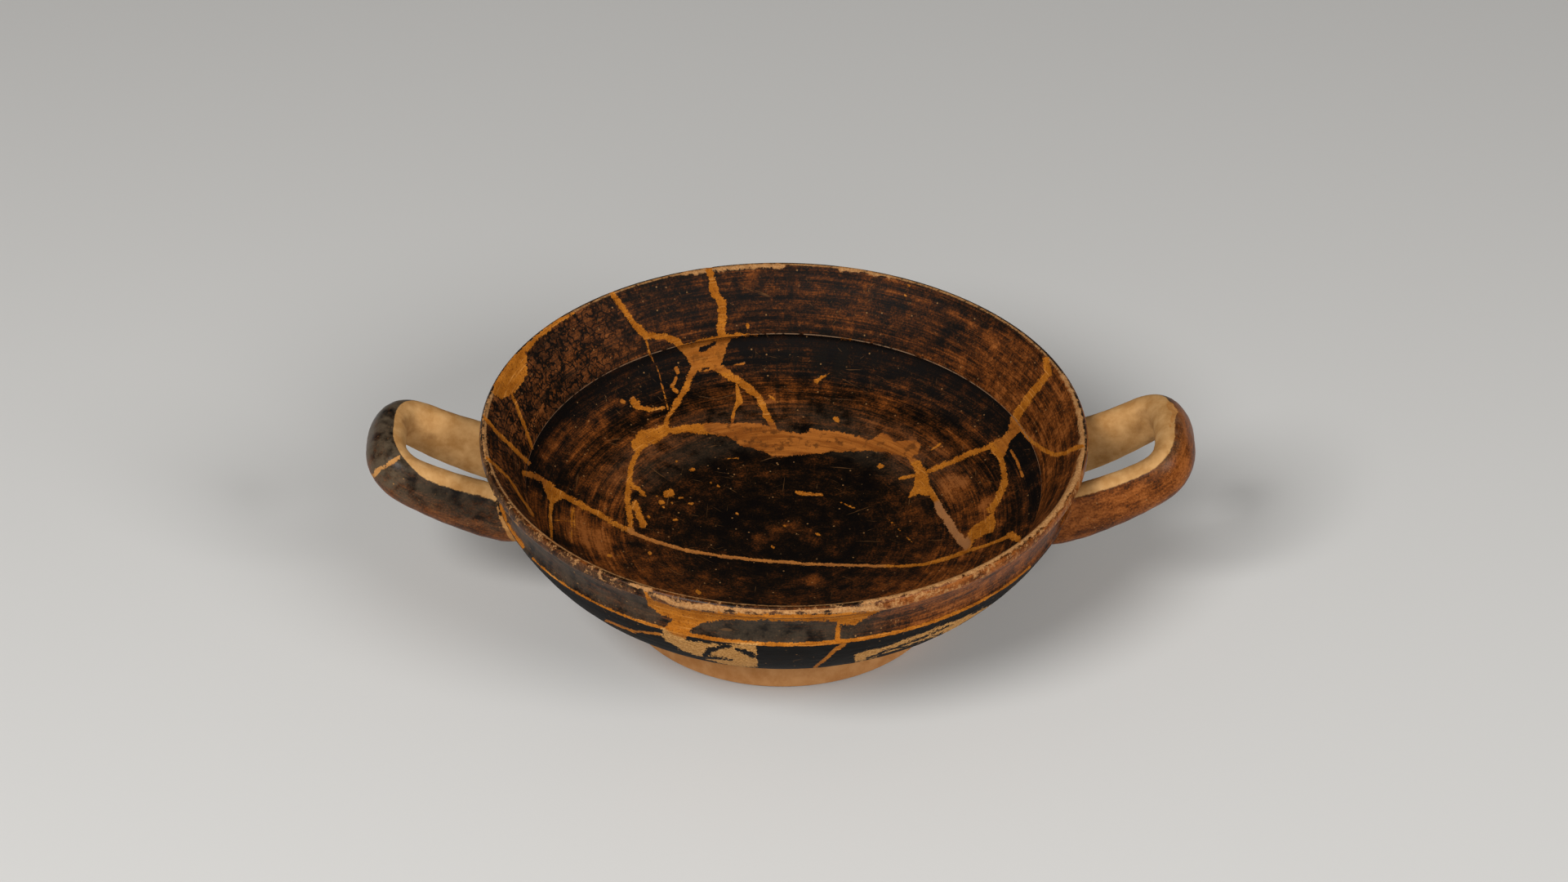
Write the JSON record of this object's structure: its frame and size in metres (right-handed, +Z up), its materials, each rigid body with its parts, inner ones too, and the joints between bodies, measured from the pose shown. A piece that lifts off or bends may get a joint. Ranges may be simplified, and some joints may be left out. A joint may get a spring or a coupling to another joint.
{
  "type": "stemless kylix cup",
  "caption": "Wide shallow drinking cup of fired clay with an inset lip, a low ring foot and two upswept horizontal loop handles, black gloss, mended and worn.",
  "frame": {"origin": "centre of the foot, on the surface that the cup stands on", "axes": "+Z up along the axis of the bowl, +X through the handles, +Y at right angles to them, away from the pictured side"},
  "size_m": [0.2303, 0.1692, 0.0584],
  "materials": {
    "black_gloss_clay": "thin black to brown gloss slip over orange clay, streaked, scratched and worn, with bare clay on the foot and inside the handles and with light clay fills along the old breaks"
  },
  "bodies": {
    "root": {"kylix_cup": "black_gloss_clay"}
  },
  "joints": []
}
